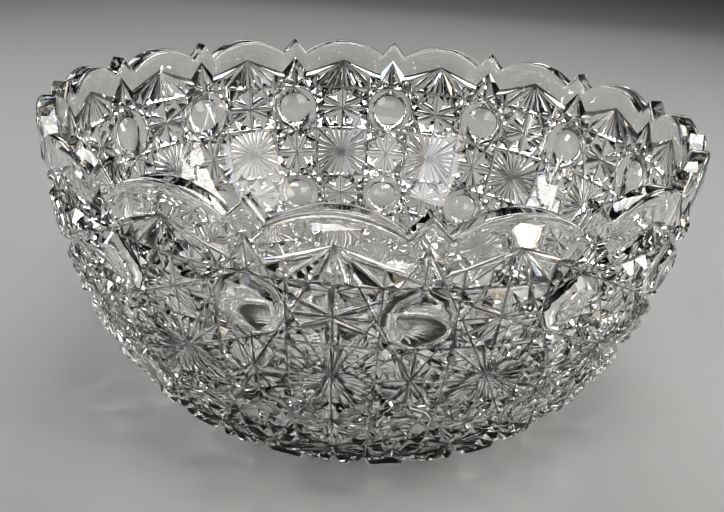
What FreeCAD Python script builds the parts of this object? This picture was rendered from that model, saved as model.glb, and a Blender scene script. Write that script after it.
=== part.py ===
import FreeCAD, Part
import math
import os

# Cut-glass punch bowl: one thick piece of clear glass with a smooth inside, a rim of
# rounded scallops and small pointed teeth, and an outside cut with round dimples
# (punties), long V-shaped mitres and stars. Millimetres, +Z up. The origin is at the
# middle of the flat base, and the middle of one scallop faces -Y.

V = FreeCAD.Vector

# ---- driving dimensions -------------------------------------------------------------
HEIGHT = 144.0            # base to scallop crests and tooth tips
RIM_RADIUS = 154.0        # outside, at the rim
BASE_RADIUS = 80.0        # flat resting face
RIM_WALL = 9.0            # glass thickness at the rim
FLOOR_THICKNESS = 14.0    # glass thickness at the middle of the bottom
INNER_FLOOR_RADIUS = 66.0  # where the inside floor begins to curve up
SIDE_POWER = 1.97         # exponents of the bowl's curved side, near those of an ellipse
ROOT_POWER = 1.94

COLUMNS = 15              # scallops round the rim, and columns of the cut pattern
TOOTH_WIDTH = 15.0        # one rim tooth, valley to valley
TOOTH_HEIGHT = 8.0        # tooth tip above its valleys
RIM_OVERCUT = 6.0         # how far the rim cutter passes the glass on every side

PUNTY_DEPTHS = (43.0, 97.0, 133.0)      # rows of punties, below the rim plane
PUNTY_RADII = (12.5, 11.0, 9.0)         # from a punty's middle to the groove round it
PUNTY_BEVEL = 0.7                       # radius of the dimple, as a share of the punty's
PUNTY_SINK = 1.6                        # depth of the dimple
PUNTY_GROOVE_DEPTH = 3.4                # depth of the groove round a punty

RING_DEPTHS = (29.5, 56.0, 71.0, 86.5, 110.0, 118.0)  # level mitres, all the way round
RING_DEPTH = 2.2                        # depth of a level mitre

STAR_DEPTHS = (71.0, 118.0)             # rows of stars, halfway between the punty rows
STAR_LENGTHS = (58.0, 46.0)             # length of one straight cut through a star
STAR_ANGLES = (26.0, 64.0, 116.0, 154.0)  # directions of those cuts, from level
STAR_DEPTH = 2.8                        # depth of the cuts, at the star's middle

UPRIGHT_DEPTHS = (32.0, 57.0, 84.0, 110.0)  # middles of the straight cuts that, end to
UPRIGHT_LENGTH = 38.0                       # end, make the upright mitres
UPRIGHT_DEPTH = 2.6

PROFILE_STEPS = 14        # spline points along each side curve
NORMAL_STEP = 0.2         # distance over which the side's direction is measured


# ---- the bowl's side ------------------------------------------------------------------
def side_radius(depth, full_depth, rim_radius, floor_radius):
    """Radius of a side curve at a depth below the rim plane."""
    fall = (depth / full_depth) ** SIDE_POWER
    return floor_radius + (rim_radius - floor_radius) * (1.0 - fall) ** (1.0 / ROOT_POWER)


def outer_radius(depth):
    return side_radius(depth, HEIGHT, RIM_RADIUS, BASE_RADIUS)


def side_curve(full_depth, rim_radius, floor_radius):
    """Spline in the XZ plane from the rim down to the floor, level where it ends."""
    points = []
    for step in range(PROFILE_STEPS + 1):
        turn = 0.5 * math.pi * step / PROFILE_STEPS
        depth = full_depth * math.sin(turn)
        radius = side_radius(depth, full_depth, rim_radius, floor_radius)
        points.append(V(radius, 0, HEIGHT - depth))
    curve = Part.BSplineCurve()
    curve.interpolate(points, InitialTangent=V(0, 0, -1), FinalTangent=V(-1, 0, 0))
    return curve.toShape()


def outer_point(depth):
    return V(outer_radius(depth), 0, HEIGHT - depth)


def outer_normal(depth):
    """Unit vector out of the side at a depth, in the XZ plane."""
    along = outer_point(depth + NORMAL_STEP) - outer_point(depth - NORMAL_STEP)
    normal = V(-along.z, 0, along.x)
    return normal.normalize()


def blank():
    """The uncut bowl, as blown and ground, turned about Z."""
    inner_depth = HEIGHT - FLOOR_THICKNESS
    inner_rim = RIM_RADIUS - RIM_WALL
    outer = side_curve(HEIGHT, RIM_RADIUS, BASE_RADIUS)
    inner = side_curve(inner_depth, inner_rim, INNER_FLOOR_RADIUS)
    rim = Part.makeLine(V(inner_rim, 0, HEIGHT), V(RIM_RADIUS, 0, HEIGHT))
    base = Part.makeLine(V(BASE_RADIUS, 0, 0), V(0, 0, 0))
    axis = Part.makeLine(V(0, 0, 0), V(0, 0, FLOOR_THICKNESS))
    floor = Part.makeLine(V(0, 0, FLOOR_THICKNESS), V(INNER_FLOOR_RADIUS, 0, FLOOR_THICKNESS))
    wire = Part.Wire(Part.__sortEdges__([rim, outer, base, axis, floor, inner]))
    return Part.Face(wire).revolve(V(0, 0, 0), V(0, 0, 1), 360)


# ---- the rim --------------------------------------------------------------------------
def rim_outline(radius):
    """Outline of the glass taken away above one scallop, across the +X direction."""
    half_pitch = math.pi / COLUMNS
    half_width = radius * math.tan(half_pitch)
    valley = half_width * (1.0 - TOOTH_WIDTH / (2.0 * RIM_RADIUS * math.tan(half_pitch)))
    valley_z = HEIGHT - TOOTH_HEIGHT
    top_z = HEIGHT + RIM_OVERCUT
    tip_right = V(radius, half_width, HEIGHT)
    tip_left = V(radius, -half_width, HEIGHT)
    right = V(radius, valley, valley_z)
    left = V(radius, -valley, valley_z)
    top_right = V(radius, half_width, top_z)
    top_left = V(radius, -half_width, top_z)
    edges = [
        Part.makeLine(tip_right, right),
        Part.Arc(right, V(radius, 0, HEIGHT), left).toShape(),
        Part.makeLine(left, tip_left),
        Part.makeLine(tip_left, top_left),
        Part.makeLine(top_left, top_right),
        Part.makeLine(top_right, tip_right),
    ]
    return Part.Wire(edges)


def rim_cutter():
    inside = rim_outline(RIM_RADIUS - RIM_WALL - RIM_OVERCUT)
    outside = rim_outline(RIM_RADIUS + RIM_OVERCUT)
    return Part.makeLoft([inside, outside], True, True)


# ---- the cuts on the outside ------------------------------------------------------------
def dimple_cutter(depth, radius):
    """A ball that leaves the round dimple at the middle of a punty."""
    dimple = radius * PUNTY_BEVEL
    ball_radius = (dimple ** 2 + PUNTY_SINK ** 2) / (2.0 * PUNTY_SINK)
    centre = outer_point(depth) + outer_normal(depth) * (ball_radius - PUNTY_SINK)
    return Part.makeSphere(ball_radius, centre)


def punty_groove_cutter(depth, radius):
    """A V-shaped groove round a punty, with its inner flank down to the dimple's edge."""
    normal = outer_normal(depth)
    down = V(normal.z, 0, -normal.x)
    middle = outer_point(depth)
    mouth = radius * (1.0 - PUNTY_BEVEL)
    bottom = middle + down * radius - normal * PUNTY_GROOVE_DEPTH
    rise = normal * (2.0 * PUNTY_GROOVE_DEPTH)
    wire = Part.makePolygon([
        bottom,
        bottom + rise + down * (2.0 * mouth),
        bottom + rise - down * (2.0 * mouth),
        bottom,
    ])
    return Part.Face(wire).revolve(middle, normal, 360)


def ring_cutter(depth):
    """A level V-shaped groove all the way round."""
    normal = outer_normal(depth)
    along = V(normal.z, 0, -normal.x)
    bottom = outer_point(depth) - normal * RING_DEPTH
    rise = normal * (2.0 * RING_DEPTH)
    wire = Part.makePolygon([
        bottom,
        bottom + rise + along * (2.0 * RING_DEPTH),
        bottom + rise - along * (2.0 * RING_DEPTH),
        bottom,
    ])
    return Part.Face(wire).revolve(V(0, 0, 0), V(0, 0, 1), 360)


def straight_cutter(depth, angle, length, cut_depth):
    """A straight V-shaped cut through a point of the side, turned by angle from level."""
    normal = outer_normal(depth)
    level = V(0, 1, 0)
    down = V(normal.z, 0, -normal.x)
    turn = math.radians(angle)
    along = level * math.cos(turn) + down * math.sin(turn)
    across = down * math.cos(turn) - level * math.sin(turn)
    start = outer_point(depth) - along * (0.5 * length)
    rise = 3.0 * cut_depth
    half = rise + cut_depth
    wire = Part.makePolygon([
        start - normal * cut_depth,
        start + normal * rise + across * half,
        start + normal * rise - across * half,
        start - normal * cut_depth,
    ])
    return Part.Face(wire).extrude(along * length)


def column_cutters():
    """Every cutter of one column except the rim's, with its scallop across +X."""
    half_pitch = 180.0 / COLUMNS
    cutters = []
    for depth, radius in zip(PUNTY_DEPTHS, PUNTY_RADII):
        for cutter in (punty_groove_cutter(depth, radius), dimple_cutter(depth, radius)):
            cutter.rotate(V(0, 0, 0), V(0, 0, 1), half_pitch)
            cutters.append(cutter)
    for depth, length in zip(STAR_DEPTHS, STAR_LENGTHS):
        for angle in STAR_ANGLES:
            cutters.append(straight_cutter(depth, angle, length, STAR_DEPTH))
    for depth in UPRIGHT_DEPTHS:
        cutters.append(straight_cutter(depth, 90.0, UPRIGHT_LENGTH, UPRIGHT_DEPTH))
    return cutters


def all_round(shape):
    """Copies of a shape at every column, the first with +X turned to -Y."""
    copies = []
    for column in range(COLUMNS):
        copy = shape.copy()
        copy.rotate(V(0, 0, 0), V(0, 0, 1), -90.0 + column * 360.0 / COLUMNS)
        copies.append(copy)
    return copies


def bowl():
    glass = blank()
    glass = glass.cut(all_round(rim_cutter()))
    glass = glass.cut([ring_cutter(depth) for depth in RING_DEPTHS])
    for cutter in column_cutters():
        glass = glass.cut(all_round(cutter))
    return glass


os.makedirs("parts", exist_ok=True)
shape = bowl()
solid = shape.Solids[0]
print("solids", len(shape.Solids), "valid", solid.isValid(), "volume", round(solid.Volume))
print("box", solid.BoundBox)
solid.exportStep("parts/bowl.step")
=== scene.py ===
import math
import bmesh
import bpy
from mathutils import Matrix, Vector, noise
from mathutils.geometry import delaunay_2d_cdt


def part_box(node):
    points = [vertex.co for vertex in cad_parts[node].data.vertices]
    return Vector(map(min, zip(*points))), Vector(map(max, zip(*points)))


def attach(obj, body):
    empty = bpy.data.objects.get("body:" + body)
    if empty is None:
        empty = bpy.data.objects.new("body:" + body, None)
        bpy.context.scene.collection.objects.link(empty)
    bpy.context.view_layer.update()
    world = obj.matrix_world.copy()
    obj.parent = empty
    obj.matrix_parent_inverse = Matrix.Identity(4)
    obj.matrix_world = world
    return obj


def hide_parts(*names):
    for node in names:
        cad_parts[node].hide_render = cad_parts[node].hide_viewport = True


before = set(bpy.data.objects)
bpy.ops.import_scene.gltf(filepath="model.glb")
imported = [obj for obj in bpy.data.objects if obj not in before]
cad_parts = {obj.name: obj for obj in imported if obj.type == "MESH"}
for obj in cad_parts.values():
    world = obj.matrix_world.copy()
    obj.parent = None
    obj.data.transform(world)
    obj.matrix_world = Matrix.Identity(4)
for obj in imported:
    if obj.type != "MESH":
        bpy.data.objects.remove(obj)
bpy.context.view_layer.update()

# A punch bowl of clear cut glass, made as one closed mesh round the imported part.
# Metres, +Z up. The outside is worked out in a flat pattern plane, where one unit is
# one column of the pattern (a scallop of the rim), and is then wrapped on the bowl.

MM = 0.001
TINY = 1e-7
WELD = 2e-6

# ---- the bowl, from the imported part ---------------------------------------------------
LOW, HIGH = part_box("bowl")
HEIGHT = HIGH.z - LOW.z
RIM_RADIUS = 0.5 * (HIGH.y - LOW.y)
BASE_RADIUS = 80.0 * MM
RIM_WALL = 9.0 * MM
FLOOR_THICKNESS = 14.0 * MM
INNER_FLOOR_RADIUS = 66.0 * MM
SIDE_POWER = 1.97
ROOT_POWER = 1.94
LEVEL_STEPS = 1200                # steps down the side when its arc length is added up

COLUMNS = 15
PITCH = 2.0 * math.pi / COLUMNS
FRONT = -0.5 * math.pi            # the middle of one scallop faces -Y

# ---- the rim ----------------------------------------------------------------------------
TOOTH_HALF = 0.1163               # half of a rim tooth, in columns
TOOTH_HEIGHT = 8.0 * MM
RIM_ROUND = 1.6 * MM              # rounding of the rim's two edges
ROUND_STEPS = 3                   # along the rounding of one edge
ARC_STEPS = 9                     # along half a scallop

# ---- the cut pattern, in columns ----------------------------------------------------------
FIRST_ROW = 43.0 * MM             # depth of the first row of punties below the rim plane
ROW_STEP = 0.943                  # from one row of punties to the next
TOP_ROW = -0.5                    # rows where the pattern starts and stops
LAST_ROW = 2.5
UNDER_TOOTH = 2.0                 # slope of a fan's upper edge next to a tooth
UNDER_SCALLOP = 0.5               # and under a scallop
LOW_POINT = 0.5 * UNDER_SCALLOP / (UNDER_TOOTH + UNDER_SCALLOP)   # where these two meet
MITRE_SLOPES = (0.5, -0.5, 2.0, -2.0)                      # long mitres through the stars
RAY_ANGLES = (13.3, -13.3, 45.0, -45.0, 76.7, -76.7)       # a star's own short rays
PUNTY = 0.2236                    # from a punty's middle to the mitres that touch it
DIMPLE = 0.70                     # radius of the dimple, as a share of the punty's
DIMPLE_SINK = 1.3 * MM
DIMPLE_SEGMENTS = 48
DIMPLE_RINGS = 5
GROOVE = 0.058                    # depth of a mitre below the uncut glass
FLANK = 1.0                       # rise of a mitre's flank for each unit across
FADE_START = 0.15                 # share of the full depth at the tips of the fans
FADE_ROWS = 0.22                  # rows over which a mitre reaches its full depth
LINE_HALF = 0.0062                # half the width of the rounded bottom of a mitre
LINE_SHARE = 0.13                 # most that this may be, as a share of a facet's own size
LINE_SLOPE = 0.2                  # rise of the rounded bottom for each unit across
SHAKE = 0.10 * MM                 # how far hand cutting moves a facet's corner
SHAKE_GRAIN = 9.0 * MM            # over what distance that changes
SHAKE_SEED = 5                    # without it the noise would start from the clock

BAND_STEP = 0.045                 # size of the mesh in the plain band, in columns
BAND_ROWS = 18                    # rows of that mesh above the middle of the first punties

INNER_START = 15.0 * MM           # depth below which the inside's rows are level
INNER_SHARES = (0.4, 0.75)        # places of the rows between the rim and that depth
INNER_STEPS = 30
FLOOR_SHARES = (0.6, 0.2)         # radii of the inside floor's rows, as shares of its own

STAR_RADIUS = 68.0 * MM           # the star under the base
STAR_MEET = 0.55                  # where two of its rays part, as a share of its radius
STAR_SINK = 3.0 * MM
BASE_CLEAR = 1.0 * MM             # nothing under this height is shaken
SHARP_ANGLE = math.radians(32.0)  # facets that meet at more than this keep a crisp edge


# ---- the bowl's side ------------------------------------------------------------------------
def side_radius(depth, full_depth, rim_radius, floor_radius):
    """Radius of a side curve at a depth below the rim plane."""
    fall = min(max(depth / full_depth, 0.0), 1.0) ** SIDE_POWER
    return floor_radius + (rim_radius - floor_radius) * (1.0 - fall) ** (1.0 / ROOT_POWER)


def outer_radius(depth):
    return side_radius(depth, HEIGHT, RIM_RADIUS, BASE_RADIUS)


def inner_radius(depth):
    return side_radius(depth, HEIGHT - FLOOR_THICKNESS, RIM_RADIUS - RIM_WALL, INNER_FLOOR_RADIUS)


def outer_normal(depth):
    """Radial and upward parts of the outward normal at a depth."""
    step = 0.1 * MM
    low, high = min(depth + step, HEIGHT), max(depth - step, 0.0)
    across = outer_radius(high) - outer_radius(low)
    rise = low - high
    size = math.hypot(across, rise)
    return rise / size, -across / size


def make_levels():
    """(depth, level) pairs down the side: a level is an arc length counted in columns."""
    levels = [(0.0, 0.0)]
    for i in range(1, LEVEL_STEPS + 1):
        before = HEIGHT * math.sin(0.5 * math.pi * (i - 1) / LEVEL_STEPS)
        depth = HEIGHT * math.sin(0.5 * math.pi * i / LEVEL_STEPS)
        r0, r1 = outer_radius(before), outer_radius(depth)
        arc = math.hypot(depth - before, r1 - r0)
        levels.append((depth, levels[-1][1] + arc / (0.5 * (r0 + r1) * PITCH)))
    return levels


LEVELS = make_levels()


def look_up(value, key, result):
    """Straight-line reading of LEVELS from one column of it to the other."""
    low, high = 0, len(LEVELS) - 1
    while high - low > 1:
        middle = (low + high) // 2
        if LEVELS[middle][key] > value:
            high = middle
        else:
            low = middle
    a, b = LEVELS[low], LEVELS[high]
    share = (value - a[key]) / (b[key] - a[key])
    return a[result] + (b[result] - a[result]) * share


FIRST_LEVEL = look_up(FIRST_ROW, 0, 1)


def depth_at(q):
    return look_up(q + FIRST_LEVEL, 1, 0)


def q_at(depth):
    return look_up(depth, 0, 1) - FIRST_LEVEL


def fade(q):
    """Share of its full depth that a mitre has, less near the top of the pattern."""
    share = min(max((q / ROW_STEP - TOP_ROW) / FADE_ROWS, 0.0), 1.0)
    return FADE_START + (1.0 - FADE_START) * share


def outer_point(p, q, height):
    """Radius, column and height of a point of the outside, height being GROOVE if uncut."""
    depth = depth_at(q)
    radius = outer_radius(depth)
    out, up = outer_normal(depth)
    sink = (GROOVE - height) * fade(q) * radius * PITCH
    return (p, radius - out * sink, HEIGHT - depth - up * sink)


# How a face is finished: a flat facet, a smoothly curved face, or a mitre's narrow bottom
FACET, CURVED, LINE = 0, 1, 2


# ---- flat polygons ---------------------------------------------------------------------------
def centre_of(polygon):
    n = len(polygon)
    return (sum(c[0] for c in polygon) / n, sum(c[1] for c in polygon) / n)


def area_of(polygon):
    total = 0.0
    for a, b in zip(polygon, polygon[1:] + polygon[:1]):
        total += a[0] * b[1] - b[0] * a[1]
    return 0.5 * total


def clip(polygon, value):
    """The part of a convex polygon where value, linear over the plane, isn't negative."""
    kept = []
    values = [value(corner) for corner in polygon]
    for i, a in enumerate(polygon):
        j = (i + 1) % len(polygon)
        b, va, vb = polygon[j], values[i], values[j]
        if va >= -TINY:
            kept.append(a)
        if (va > TINY and vb < -TINY) or (va < -TINY and vb > TINY):
            share = va / (va - vb)
            kept.append((a[0] + (b[0] - a[0]) * share, a[1] + (b[1] - a[1]) * share))
    return kept


def side_of(a, b):
    """Distance to the left of the line from a to b, as a function of a corner."""
    dx, dy = b[0] - a[0], b[1] - a[1]
    size = math.hypot(dx, dy)

    def distance(corner):
        return (dx * (corner[1] - a[1]) - dy * (corner[0] - a[0])) / size

    return distance


def split(polygons, a, b, inside):
    """Cuts the polygons whose middles are inside by the line through a and b."""
    distance = side_of(a, b)
    done = []
    for polygon in polygons:
        values = [distance(corner) for corner in polygon]
        if min(values) > -TINY or max(values) < TINY or not inside(centre_of(polygon)):
            done.append(polygon)
            continue
        done.append(clip(polygon, distance))
        done.append(clip(polygon, lambda corner: -distance(corner)))
    return done


# ---- the mitres ---------------------------------------------------------------------------------
def anywhere(middle):
    return True


def near_star(x, y):
    """Test for the square between the mitres that touch the punties round a star."""
    reach = 0.5 - PUNTY

    def inside(middle):
        across, down = abs(middle[0] - x), abs(middle[1] / ROW_STEP - y)
        return across < reach and down < reach

    return inside


def between_punties_level(y):
    def inside(middle):
        return middle[0] > PUNTY and abs(middle[1] / ROW_STEP - y) < 0.5

    return inside


def mitres():
    """Every mitre that crosses half a column, as (point, direction, where it's cut)."""
    cuts = [((PUNTY, 0.0), (0.0, 1.0), anywhere)]
    for row in range(-2, 5):
        star = row + 0.5
        cuts.append(((0.0, star), (1.0, 0.0), anywhere))
        cuts.append(((0.0, row - PUNTY), (1.0, 0.0), anywhere))
        cuts.append(((0.0, row + PUNTY), (1.0, 0.0), anywhere))
        for slope in MITRE_SLOPES:
            cuts.append(((0.5, star), (1.0, slope), anywhere))
            cuts.append(((-0.5, star), (1.0, slope), anywhere))
    for row in range(-1, 3):
        star = row + 0.5
        for degrees in RAY_ANGLES:
            turn = math.radians(degrees)
            ray = (math.cos(turn), math.sin(turn))
            cuts.append(((0.5, star), ray, near_star(0.5, star)))
        cuts.append(((0.0, float(row)), (1.0, 0.0), between_punties_level(row)))
    return cuts


def zigzag_row(x):
    """Row of the fans' upper edges, which fall from each fan's tip to a low point."""
    return min(TOP_ROW + UNDER_TOOTH * x, TOP_ROW + UNDER_SCALLOP * (0.5 - x))


def above_fans(middle):
    """True above the zigzag of the fans' upper edges, where the glass isn't cut."""
    return middle[1] / ROW_STEP < zigzag_row(middle[0])


def in_punty(middle):
    row = middle[1] / ROW_STEP
    near = row - round(row)
    return math.hypot(middle[0], near) < 0.9 * PUNTY


def cells():
    """Convex cells between the mitres of half a column, and the punties' half cells."""
    top, bottom = (TOP_ROW - 0.1) * ROW_STEP, LAST_ROW * ROW_STEP
    polygons = [[(0.0, top), (0.5, top), (0.5, bottom), (0.0, bottom)]]
    for start, ray, inside in mitres():
        a = (start[0], start[1] * ROW_STEP)
        b = (start[0] + ray[0], (start[1] + ray[1]) * ROW_STEP)
        polygons = split(polygons, a, b, inside)
    polygons = [p for p in polygons if abs(area_of(p)) > 1e-7]
    cut = [p for p in polygons if not above_fans(centre_of(p))]
    punties = [p for p in cut if in_punty(centre_of(p))]
    facets = [p for p in cut if not in_punty(centre_of(p))]
    return facets, punties


def strip_faces(rows, finish):
    """Quads between neighbouring rows that have the same number of points."""
    faces = []
    for low, high in zip(rows, rows[1:]):
        for i in range(len(low) - 1):
            faces.append(([low[i], low[i + 1], high[i + 1], high[i]], finish))
    return faces


def line_height(half_width):
    """Height of the edge of a mitre's rounded bottom."""
    return LINE_SLOPE * half_width


def flank_width(half_width):
    """How far a flank reaches across, from the rounded bottom to the uncut glass."""
    return (GROOVE - line_height(half_width)) / FLANK


def roof(cell):
    """The facets of one cell: a flank up from each mitre, and a flat top if it is wide."""
    if area_of(cell) < 0.0:
        cell = cell[::-1]
    sides = [side_of(a, b) for a, b in zip(cell, cell[1:] + cell[:1])]
    shares = []
    for i, side in enumerate(sides):
        nearest = cell
        for j, other in enumerate(sides):
            if j != i and len(nearest) > 2:
                nearest = clip(nearest, lambda c: other(c) - side(c))
        if len(nearest) > 2:
            shares.append((side, nearest))
    size = max(side(c) for side, nearest in shares for c in nearest)
    half = min(LINE_HALF, LINE_SHARE * size)
    limit = half + flank_width(half)

    def height_at(corner):
        distance = min(side(corner) for side in sides)
        if distance < half:
            return LINE_SLOPE * max(distance, 0.0)
        return min(line_height(half) + FLANK * (distance - half), GROOVE)

    faces = []
    table = cell
    for side, nearest in shares:
        faces.append((clip(nearest, lambda c: half - side(c)), LINE))
        flank = clip(nearest, lambda c: side(c) - half)
        if len(flank) > 2:
            faces.append((clip(flank, lambda c: limit - side(c)), FACET))
        if len(table) > 2:
            table = clip(table, lambda c: side(c) - limit)
    faces.append((table, FACET))
    solid = []
    for face, finish in faces:
        if len(face) > 2 and abs(area_of(face)) > 1e-9:
            solid.append(([(c[0], c[1], height_at(c)) for c in face], finish))
    return solid


def punty_faces(boundary, row):
    """Half a punty: a bevel in from its mitres, and a round dimple, for x over 0."""
    middle = row * ROW_STEP

    def angle(corner):
        return math.atan2(corner[0], (corner[1] - middle) / ROW_STEP)

    def shrunk(corner, share, height):
        return (corner[0] * share, middle + (corner[1] - middle) * share, height)

    mitre = sorted(boundary, key=angle)
    inset = 1.0 - LINE_HALF / (PUNTY * ROW_STEP)
    rise = line_height(LINE_HALF)
    faces = []
    bottom = [shrunk(c, 1.0, 0.0) for c in mitre]
    edge = [shrunk(c, inset, rise) for c in mitre]
    faces += strip_faces([bottom, edge], LINE)
    rim = []
    for i in range(DIMPLE_SEGMENTS // 2 + 1):
        turn = 2.0 * math.pi * i / DIMPLE_SEGMENTS
        x = max(DIMPLE * PUNTY * math.sin(turn), 0.0)
        rim.append((x, middle + DIMPLE * PUNTY * ROW_STEP * math.cos(turn), GROOVE))
    i = j = 0
    while i < len(edge) - 1 or j < len(rim) - 1:
        step_outer = j == len(rim) - 1
        if i < len(edge) - 1 and j < len(rim) - 1:
            step_outer = angle(edge[i + 1]) < angle(rim[j + 1])
        if step_outer:
            faces.append(([edge[i], edge[i + 1], rim[j]], FACET))
            i += 1
        else:
            faces.append(([edge[i], rim[j + 1], rim[j]], FACET))
            j += 1
    sink = DIMPLE_SINK / (outer_radius(depth_at(middle)) * PITCH)
    for ring in range(DIMPLE_RINGS):
        near = 1.0 - ring / DIMPLE_RINGS
        far = 1.0 - (ring + 1) / DIMPLE_RINGS
        high = GROOVE - sink * (1.0 - near * near)
        low = GROOVE - sink * (1.0 - far * far)
        for a, b in zip(rim, rim[1:]):
            quad = [shrunk(a, near, high), shrunk(b, near, high)]
            quad += [shrunk(b, far, low), shrunk(a, far, low)]
            faces.append((quad[:3] if far < TINY else quad, CURVED))
    return faces


def boundary_of(polygons):
    """Corners on the outline of a set of polygons that tile one convex cell."""
    corners = {}
    for polygon in polygons:
        for corner in polygon:
            corners[(round(corner[0], 6), round(corner[1], 6))] = corner
    return list(corners.values())


def mend(faces, points):
    """Adds to each face the points that lie on its edges, so that no edge meets two."""
    mended = []
    for face, finish in faces:
        full = []
        for a, b in zip(face, face[1:] + face[:1]):
            full.append(a)
            dx, dy, dz = b[0] - a[0], b[1] - a[1], b[2] - a[2]
            size = dx * dx + dy * dy
            if size < 1e-12:
                continue
            found = []
            for c in points:
                share = ((c[0] - a[0]) * dx + (c[1] - a[1]) * dy) / size
                if share < 1e-4 or share > 1.0 - 1e-4:
                    continue
                off = abs((c[0] - a[0]) * dy - (c[1] - a[1]) * dx) / math.sqrt(size)
                if off < 1e-5 and abs(a[2] + dz * share - c[2]) < 1e-5:
                    found.append((share, c))
            full += [c for share, c in sorted(found)]
        mended.append((full, finish))
    return mended


# ---- wrapping the pattern on the bowl -------------------------------------------------------
def wrapped(faces):
    """Faces of the flat pattern as faces on the bowl's outside."""
    return [([outer_point(*corner) for corner in face], finish) for face, finish in faces]


def corners_on(polygons, test):
    found = {}
    for polygon in polygons:
        for corner in polygon:
            if test(corner):
                found[round(corner[0], 5)] = corner
    return [found[key] for key in sorted(found)]


def zigzag_strip(polygons):
    """The upper flank of the fans' edges, and its upper outline in the pattern plane."""
    low = corners_on(polygons, lambda c: abs(c[1] / ROW_STEP - zigzag_row(c[0])) < 1e-5)
    tooth_way = Vector((1.0, UNDER_TOOTH * ROW_STEP)).normalized()
    scallop_way = Vector((1.0, -UNDER_SCALLOP * ROW_STEP)).normalized()
    up_tooth = Vector((tooth_way.y, -tooth_way.x))
    up_scallop = Vector((scallop_way.y, -scallop_way.x))
    line, high = [], []
    for corner in low:
        width = LINE_HALF + flank_width(LINE_HALF) * fade(corner[1])
        if corner[0] < TINY:
            shift = Vector((0.0, -1.0 / abs(up_tooth.y)))
        elif corner[0] > 0.5 - 1e-5:
            shift = Vector((0.0, -1.0 / abs(up_scallop.y)))
        elif abs(corner[0] - LOW_POINT) < 1e-4:
            middle = (up_tooth + up_scallop).normalized()
            shift = middle / middle.dot(up_tooth)
        else:
            shift = up_tooth if corner[0] < LOW_POINT else up_scallop
        near, far = shift * LINE_HALF, shift * width
        line.append((corner[0] + near.x, corner[1] + near.y, line_height(LINE_HALF)))
        high.append((corner[0] + far.x, corner[1] + far.y, GROOVE))
    bottom = [corner + (0.0,) for corner in low]
    faces = strip_faces([bottom, line], LINE) + strip_faces([line, high], FACET)
    return faces, high


def rim_line(drop):
    """Half a tooth and half a scallop as (column, depth), moved into the glass by drop."""
    across = RIM_RADIUS * PITCH
    half_chord = (0.5 - TOOTH_HALF) * across
    arc_radius = (half_chord ** 2 + TOOTH_HEIGHT ** 2) / (2.0 * TOOTH_HEIGHT)
    full_turn = math.asin(half_chord / arc_radius)
    points = [(0.0, 0.0), (0.5 * TOOTH_HALF * across, 0.5 * TOOTH_HEIGHT)]
    for i in range(ARC_STEPS + 1):
        turn = full_turn * (1.0 - i / ARC_STEPS)
        side = arc_radius * math.sin(turn)
        points.append((0.5 * across - side, arc_radius * (1.0 - math.cos(turn))))
    moved = []
    for i, point in enumerate(points):
        before = points[i - 1] if i else (-points[1][0], points[1][1])
        last = i == len(points) - 1
        after = points[i + 1] if not last else (across - points[-2][0], points[-2][1])
        a = Vector((point[0] - before[0], point[1] - before[1])).normalized()
        b = Vector((after[0] - point[0], after[1] - point[1])).normalized()
        into_a, into_b = Vector((-a.y, a.x)), Vector((-b.y, b.x))
        middle = (into_a + into_b).normalized()
        shift = middle * (drop / middle.dot(into_a))
        column = (point[0] + shift.x) / across
        if i == 0:
            column = 0.0
        if last:
            column = 0.5
        moved.append((column, point[1] + shift.y))
    return moved


def inside_outline(outline, x, y):
    """True if a point lies inside a closed outline."""
    inside = False
    for a, b in zip(outline, outline[1:] + outline[:1]):
        if (a[1] > y) != (b[1] > y):
            if x < a[0] + (b[0] - a[0]) * (y - a[1]) / (b[1] - a[1]):
                inside = not inside
    return inside


def gap_to(outline, x, y):
    """Distance from a point to the nearest edge of an outline."""
    best = 1.0
    for a, b in zip(outline, outline[1:] + outline[:1]):
        edge = Vector((b[0] - a[0], b[1] - a[1]))
        to_point = Vector((x - a[0], y - a[1]))
        share = min(max(to_point.dot(edge) / max(edge.length_squared, TINY), 0.0), 1.0)
        best = min(best, (to_point - edge * share).length)
    return best


def seam(x, start, end):
    """Points between two levels on the line where two mirror halves meet."""
    count = max(int(abs(end - start) / BAND_STEP), 1)
    return [(x, start + (end - start) * i / count) for i in range(1, count)]


def plain_band(lower):
    """The uncut glass between the fans and the rim, as triangles of the pattern plane."""
    upper = [(p, q_at(depth)) for p, depth in rim_line(RIM_ROUND)]
    outline = [corner[:2] for corner in lower]
    outline += seam(0.5, lower[-1][1], upper[-1][1])
    outline += upper[::-1]
    outline += seam(0.0, upper[0][1], lower[0][1])
    points = [Vector(c) for c in outline]
    for i in range(1, int(0.5 / BAND_STEP) + 1):
        for j in range(-BAND_ROWS, 1):
            x, y = i * BAND_STEP, j * BAND_STEP
            if inside_outline(outline, x, y) and gap_to(outline, x, y) > 0.5 * BAND_STEP:
                points.append(Vector((x, y)))
    edges = [(i, (i + 1) % len(outline)) for i in range(len(outline))]
    flat, _, triangles, _, _, _ = delaunay_2d_cdt(points, edges, [], 0, 1e-6)
    faces = []
    for triangle in triangles:
        corners = [(flat[i].x, flat[i].y) for i in triangle]
        if inside_outline(outline, *centre_of(corners)) and abs(area_of(corners)) > 1e-8:
            faces.append(([c + (GROOVE,) for c in corners], CURVED))
    return faces


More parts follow.
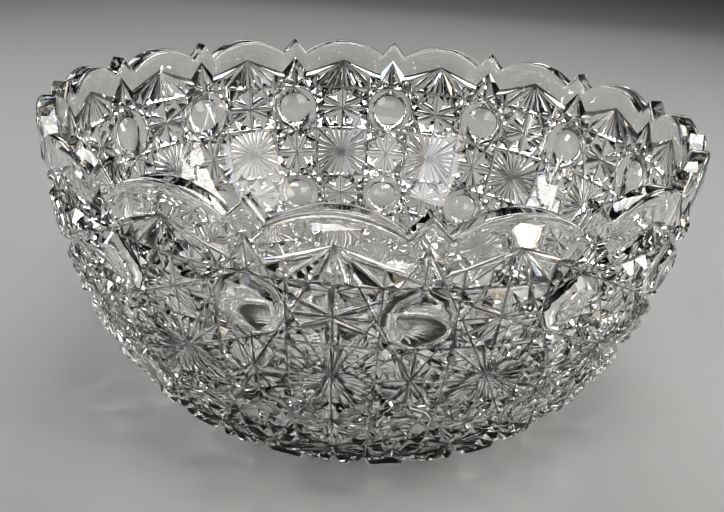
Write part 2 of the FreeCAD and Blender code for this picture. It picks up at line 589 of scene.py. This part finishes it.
# ---- the rest of the bowl, as rows of (column, radius, height) ---------------------------
def rim_rows():
    """Rows over the rim from the outside to the inside, with both edges rounded."""
    rows = []
    for wall_radius, inward in ((outer_radius, -1.0), (inner_radius, 1.0)):
        edge = []
        for i in range(ROUND_STEPS + 1):
            turn = 0.5 * math.pi * i / ROUND_STEPS
            drop = RIM_ROUND * (1.0 - math.sin(turn))
            shift = inward * RIM_ROUND * (1.0 - math.cos(turn))
            line = rim_line(drop)
            edge.append([(p, wall_radius(depth) + shift, HEIGHT - depth) for p, depth in line])
        rows += edge if inward < 0.0 else edge[::-1]
    rows[0] = [outer_point(p, q_at(depth), GROOVE) for p, depth in rim_line(RIM_ROUND)]
    return rows


def inner_rows(first):
    """Rows down the smooth inside from the rim's last row to the middle of the floor."""
    columns = [p for p, depth in rim_line(0.0)]
    full = HEIGHT - FLOOR_THICKNESS
    rows = [first]
    for share in INNER_SHARES:
        row = []
        for p, (p0, radius, z) in zip(columns, first):
            depth = (HEIGHT - z) * (1.0 - share) + INNER_START * share
            row.append((p0 + (p - p0) * share, inner_radius(depth), HEIGHT - depth))
        rows.append(row)
    first_turn = math.asin(INNER_START / full)
    for i in range(INNER_STEPS + 1):
        turn = first_turn + (0.5 * math.pi - first_turn) * i / INNER_STEPS
        depth = full * math.sin(turn)
        rows.append([(p, inner_radius(depth), HEIGHT - depth) for p in columns])
    for share in FLOOR_SHARES:
        rows.append([(p, share * INNER_FLOOR_RADIUS, FLOOR_THICKNESS) for p in columns])
    return rows


def floor_middle(last):
    middle = (0.0, 0.0, FLOOR_THICKNESS)
    return [([a, b, middle], CURVED) for a, b in zip(last, last[1:])]


def base_faces(polygons):
    """From the lowest mitre round the base's edge to the star cut under it."""
    end = LAST_ROW * ROW_STEP
    low = corners_on(polygons, lambda c: abs(c[1] - end) < 1e-5)
    line_q = end + LINE_HALF
    edge_q = line_q + flank_width(LINE_HALF)
    bottom = [outer_point(c[0], end, 0.0) for c in low]
    line = [outer_point(c[0], line_q, line_height(LINE_HALF)) for c in low]
    uncut = [outer_point(c[0], edge_q, GROOVE) for c in low]
    edge = [(c[0], BASE_RADIUS, 0.0) for c in low]
    ring = [(c[0], STAR_RADIUS, 0.0) for c in low]
    faces = strip_faces([bottom, line], LINE) + strip_faces([line, uncut], FACET)
    faces += strip_faces([uncut, edge], CURVED) + strip_faces([edge, ring], FACET)
    centre = (0.0, 0.0, STAR_SINK)
    meet = (0.25, STAR_MEET * STAR_RADIUS, 0.0)
    faces.append(([centre, ring[0], meet], FACET))
    faces.append(([centre, meet, ring[-1]], FACET))
    faces.append((ring + [meet], FACET))
    return faces


def half_column():
    """One mirror half of a column, from the middle of a tooth to that of a scallop."""
    facets, punties = cells()
    pattern = []
    for cell in facets:
        pattern += roof(cell)
    for row in range(0, 3):
        own = [p for p in punties if round(centre_of(p)[1] / ROW_STEP) == row]
        pattern += punty_faces(boundary_of(own), row)
    strip, lower = zigzag_strip(facets)
    pattern += strip
    points = {}
    for face, finish in pattern:
        for c in face:
            points[(round(c[0], 6), round(c[1], 6), round(c[2], 6))] = c
    faces = wrapped(mend(pattern, list(points.values())))
    faces += wrapped(plain_band(lower))
    rim = rim_rows()
    inside = inner_rows(rim[-1])
    faces += strip_faces(rim, CURVED) + strip_faces(inside, CURVED) + floor_middle(inside[-1])
    faces += base_faces(facets)
    return faces


# ---- the glass ------------------------------------------------------------------------------
GLASS_IOR = 1.57
CLEAR = (0.995, 0.99, 0.972, 1.0)  # very slightly warm
PAINTED_SHADE_LINE = (0.20, 0.20, 0.20, 1.0)   # painted shade: the narrow bottoms of the mitres, glass coloured dark grey so they read as dark lines
POLISHED = 0.0                    # roughness
LESS_POLISHED = 0.03
WIPING_MARKS = 0.03               # most that these add to it
WORN_FOOT = 0.28                  # most that standing on tables adds, at the very bottom
FOOT_FULL = 0.4 * MM              # height up to which the foot is worn in full
FOOT_NONE = 2.0 * MM
WAVINESS = 0.06 * MM


def shake(body):
    """Small shifts of the cut facets' corners, as hand cutting leaves them."""
    noise.seed_set(SHAKE_SEED)
    for vertex in body.verts:
        if all(not face.smooth for face in vertex.link_faces) and vertex.co.z > BASE_CLEAR:
            vertex.co += noise.noise_vector(vertex.co / SHAKE_GRAIN) * SHAKE


def bowl_mesh():
    """The half column, mirrored and repeated all the way round and welded into one mesh."""
    corners, polygons, finishes = [], [], []
    half = half_column()
    for column in range(COLUMNS):
        for side in (1.0, -1.0):
            for face, finish in half:
                turned = face if side > 0.0 else face[::-1]
                polygon = []
                for p, radius, z in turned:
                    angle = FRONT + (side * p + 0.5 + column) * PITCH
                    polygon.append(len(corners))
                    corners.append((radius * math.cos(angle), radius * math.sin(angle), z))
                polygons.append(polygon)
                finishes.append(finish)
    mesh = bpy.data.meshes.new("bowl_glass")
    mesh.from_pydata(corners, [], polygons)
    mesh.polygons.foreach_set("use_smooth", [finish != FACET for finish in finishes])
    # the mitres' narrow bottoms take the second material: glass coloured dark grey, painted shade
    # that makes dark lines
    mesh.polygons.foreach_set("material_index", [int(finish == LINE) for finish in finishes])
    body = bmesh.new()
    body.from_mesh(mesh)
    bmesh.ops.remove_doubles(body, verts=body.verts, dist=WELD)
    bmesh.ops.dissolve_degenerate(body, edges=body.edges, dist=WELD)
    bmesh.ops.recalc_face_normals(body, faces=body.faces)
    shake(body)
    bmesh.ops.triangulate(body, faces=[face for face in body.faces if len(face.verts) > 4])
    body.to_mesh(mesh)
    body.free()
    mesh.set_sharp_from_angle(angle=SHARP_ANGLE)
    return mesh


def add_node(tree, kind, **settings):
    """A new node, with each setting put on its socket or property of that name."""
    node = tree.nodes.new(kind)
    for name, value in settings.items():
        if name in node.inputs:
            node.inputs[name].default_value = value
        else:
            setattr(node, name, value)
    return node


def crystal(name, tint_and_painted_shade, polish):
    """Lead glass of the given colour, which for the mitre bottoms is a dark grey of painted shade:
    polished, a little wavy, and scuffed where the bowl stands.
    """
    material = bpy.data.materials.new(name)
    material.use_nodes = True
    tree = material.node_tree
    links = tree.links
    shader = tree.nodes["Principled BSDF"]
    shader.inputs["Base Color"].default_value = tint_and_painted_shade
    shader.inputs["Transmission Weight"].default_value = 1.0
    shader.inputs["IOR"].default_value = GLASS_IOR

    place = add_node(tree, "ShaderNodeTexCoord")
    height = add_node(tree, "ShaderNodeSeparateXYZ")
    links.new(place.outputs["Object"], height.inputs["Vector"])

    # wiping marks everywhere, and the foot dulled by tables
    smears = add_node(tree, "ShaderNodeTexNoise", Scale=34.0, Detail=4.0, Roughness=0.6)
    links.new(place.outputs["Object"], smears.inputs["Vector"])
    film = add_node(tree, "ShaderNodeMapRange")
    film.inputs["From Min"].default_value = 0.58
    film.inputs["From Max"].default_value = 0.85
    film.inputs["To Min"].default_value = polish
    film.inputs["To Max"].default_value = polish + WIPING_MARKS
    links.new(smears.outputs["Fac"], film.inputs["Value"])
    foot = add_node(tree, "ShaderNodeMapRange")
    foot.inputs["From Min"].default_value = FOOT_FULL
    foot.inputs["From Max"].default_value = FOOT_NONE
    foot.inputs["To Min"].default_value = WORN_FOOT
    foot.inputs["To Max"].default_value = 0.0
    links.new(height.outputs["Z"], foot.inputs["Value"])
    scuffs = add_node(tree, "ShaderNodeTexNoise", Scale=900.0, Detail=3.0)
    links.new(place.outputs["Object"], scuffs.inputs["Vector"])
    worn = add_node(tree, "ShaderNodeMath", operation="MULTIPLY")
    links.new(foot.outputs["Result"], worn.inputs[0])
    links.new(scuffs.outputs["Fac"], worn.inputs[1])
    total = add_node(tree, "ShaderNodeMath", operation="ADD")
    links.new(film.outputs["Result"], total.inputs[0])
    links.new(worn.outputs["Value"], total.inputs[1])
    links.new(total.outputs["Value"], shader.inputs["Roughness"])

    # the slight waviness of hand-polished glass
    waves = add_node(tree, "ShaderNodeTexNoise", Scale=55.0, Detail=1.5)
    links.new(place.outputs["Object"], waves.inputs["Vector"])
    bump = add_node(tree, "ShaderNodeBump", Strength=1.0, Distance=WAVINESS)
    links.new(waves.outputs["Fac"], bump.inputs["Height"])
    links.new(bump.outputs["Normal"], shader.inputs["Normal"])
    return material


bowl = bpy.data.objects.new("bowl_glass", bowl_mesh())
bpy.context.scene.collection.objects.link(bowl)
bowl.data.materials.append(crystal("lead_crystal", CLEAR, POLISHED))
# painted shade: the mitres' narrow bottoms are glass coloured dark grey, so that they read as dark
# lines
bowl.data.materials.append(crystal("mitre_bottoms_painted_shade", PAINTED_SHADE_LINE, LESS_POLISHED))
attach(bowl, "root")
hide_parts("bowl")


# ---- floor, light and camera -----------------------------------------------------------------
FLOOR_HALF = 6.0
WORLD_LEVELS = ((0.0, 0.015), (0.10, 0.02), (0.35, 0.04), (0.6, 0.10), (1.0, 0.15))
LAMP_DISTANCE = 1.3
TINTED_EDGE = 0.08                # share of a softbox's width
WARM_EDGE = (1.0, 0.84, 0.68)
COOL_EDGE = (0.74, 0.82, 1.0)
SOFTBOXES = (
    # name, azimuth, elevation, (width, height), brightness, colour
    ("overhead", 4.0, 60.0, (0.70, 0.50), 6.5, (1.0, 0.99, 0.96)),
    ("front", 158.0, 66.0, (0.70, 0.36), 8.5, (1.0, 0.99, 0.97)),
    ("window_right", 112.0, 30.0, (0.60, 0.68), 3.5, (1.0, 0.98, 0.95)),
    ("window_left", 214.0, 30.0, (0.38, 0.68), 3.5, (0.97, 0.99, 1.0)),
    ("camera_side", 184.0, 27.0, (0.90, 0.60), 1.6, (1.0, 0.99, 0.97)),
    ("backdrop", 0.0, 10.5, (1.30, 0.22), 1.0, (1.0, 0.99, 0.97)),
    ("back_right", 48.0, 34.0, (0.30, 0.40), 4.0, (1.0, 0.98, 0.94)),
    ("back_left", 312.0, 34.0, (0.30, 0.40), 4.0, (0.95, 0.98, 1.0)),
    ("side_right", 79.0, 22.0, (0.36, 0.50), 9.0, (1.0, 0.98, 0.94)),
    ("side_left", 276.0, 22.0, (0.42, 0.50), 9.0, (1.0, 0.99, 0.96)),
)

CAMERA_AZIMUTH = math.radians(3.79)
CAMERA_ELEVATION = math.radians(13.70)
CAMERA_DISTANCE = 0.4398
CAMERA_TURN = math.radians(0.15)    # to the left of the rim's middle
CAMERA_DIP = math.radians(9.89)     # below it
CAMERA_ROLL = math.radians(3.84)
CAMERA_LENS = 44.85
GLASS_BOUNCES = 24


def add_floor():
    half = FLOOR_HALF
    corners = [(-half, -half, 0), (half, -half, 0), (half, half, 0), (-half, half, 0)]
    mesh = bpy.data.meshes.new("floor")
    mesh.from_pydata(corners, [], [(0, 1, 2, 3)])
    floor = bpy.data.objects.new("floor", mesh)
    bpy.context.scene.collection.objects.link(floor)
    material = bpy.data.materials.new("floor")
    material.use_nodes = True
    shader = material.node_tree.nodes["Principled BSDF"]
    shader.inputs["Base Color"].default_value = (0.25, 0.253, 0.255, 1.0)
    shader.inputs["Roughness"].default_value = 0.8
    mesh.materials.append(material)


def add_lamp(name, place, axes, shift, size, brightness, colour):
    """One area lamp of a softbox, moved across the softbox's face by shift."""
    light = bpy.data.lights.new(name, "AREA")
    light.shape = "RECTANGLE"
    light.size, light.size_y = size
    light.energy = brightness * math.pi * size[0] * size[1]
    light.color = colour
    lamp = bpy.data.objects.new(name, light)
    lamp.matrix_world = Matrix.Translation(place + axes.col[0] * shift) @ axes.to_4x4()
    bpy.context.scene.collection.objects.link(lamp)


def add_softbox(name, azimuth, elevation, size, brightness, colour):
    """A softbox that faces the bowl. Azimuth 0 is behind it, 90 is on the right.

    Its two edges are tinted, which hints at the colours that cut glass splits light into.
    """
    away, up = math.radians(azimuth), math.radians(elevation)
    level = math.cos(up)
    target = Vector((0.0, 0.0, 0.5 * HEIGHT))
    direction = Vector((math.sin(away) * level, math.cos(away) * level, math.sin(up)))
    place = target + direction * LAMP_DISTANCE
    axes = (target - place).to_track_quat("-Z", "Y").to_matrix()
    width, height = size
    edge = TINTED_EDGE * width
    add_lamp(name, place, axes, 0.0, (width - 2.0 * edge, height), brightness, colour)
    side = 0.5 * (width - edge)
    add_lamp(name + "_warm_edge", place, axes, -side, (edge, height), brightness, WARM_EDGE)
    add_lamp(name + "_cool_edge", place, axes, side, (edge, height), brightness, COOL_EDGE)


def add_world():
    """Dim, even light, nearly dark at the horizon and brightest straight above."""
    world = bpy.data.worlds.new("studio")
    world.use_nodes = True
    nodes, links = world.node_tree.nodes, world.node_tree.links
    background = nodes["Background"]
    place = nodes.new("ShaderNodeTexCoord")
    parts = nodes.new("ShaderNodeSeparateXYZ")
    ramp = nodes.new("ShaderNodeValToRGB")
    links.new(place.outputs["Generated"], parts.inputs["Vector"])
    links.new(parts.outputs["Z"], ramp.inputs["Fac"])
    links.new(ramp.outputs["Color"], background.inputs["Color"])
    while len(ramp.color_ramp.elements) < len(WORLD_LEVELS):
        ramp.color_ramp.elements.new(0.5)
    for element, (place_on_ramp, level) in zip(ramp.color_ramp.elements, WORLD_LEVELS):
        element.position = place_on_ramp
        element.color = (level, 0.985 * level, 0.95 * level, 1.0)
    bpy.context.scene.world = world


def add_camera():
    rim_middle = Vector((0.0, 0.0, HEIGHT))
    level = math.cos(CAMERA_ELEVATION)
    across, along = math.sin(CAMERA_AZIMUTH) * level, -math.cos(CAMERA_AZIMUTH) * level
    back = Vector((across, along, math.sin(CAMERA_ELEVATION)))
    forward = -back
    right = forward.cross(Vector((0.0, 0.0, 1.0))).normalized()
    up = right.cross(forward)
    forward = forward * math.cos(CAMERA_TURN) - right * math.sin(CAMERA_TURN)
    right = forward.cross(up)
    forward = forward * math.cos(CAMERA_DIP) - up * math.sin(CAMERA_DIP)
    up = right.cross(forward)
    turned_right = right * math.cos(CAMERA_ROLL) + up * math.sin(CAMERA_ROLL)
    turned_up = turned_right.cross(forward)
    data = bpy.data.cameras.new("camera")
    data.lens = CAMERA_LENS
    data.clip_start = 0.01
    camera = bpy.data.objects.new("camera", data)
    axes = Matrix((turned_right, turned_up, -forward)).transposed()
    camera.matrix_world = Matrix.Translation(rim_middle + back * CAMERA_DISTANCE) @ axes.to_4x4()
    bpy.context.scene.collection.objects.link(camera)
    bpy.context.scene.camera = camera


add_floor()
add_world()
for softbox in SOFTBOXES:
    add_softbox(*softbox)
add_camera()

scene = bpy.context.scene
scene.cycles.max_bounces = GLASS_BOUNCES
scene.cycles.transmission_bounces = GLASS_BOUNCES
scene.cycles.transparent_max_bounces = GLASS_BOUNCES
scene.cycles.blur_glossy = 0.0
scene.view_settings.view_transform = "Standard"
scene.view_settings.look = "High Contrast"
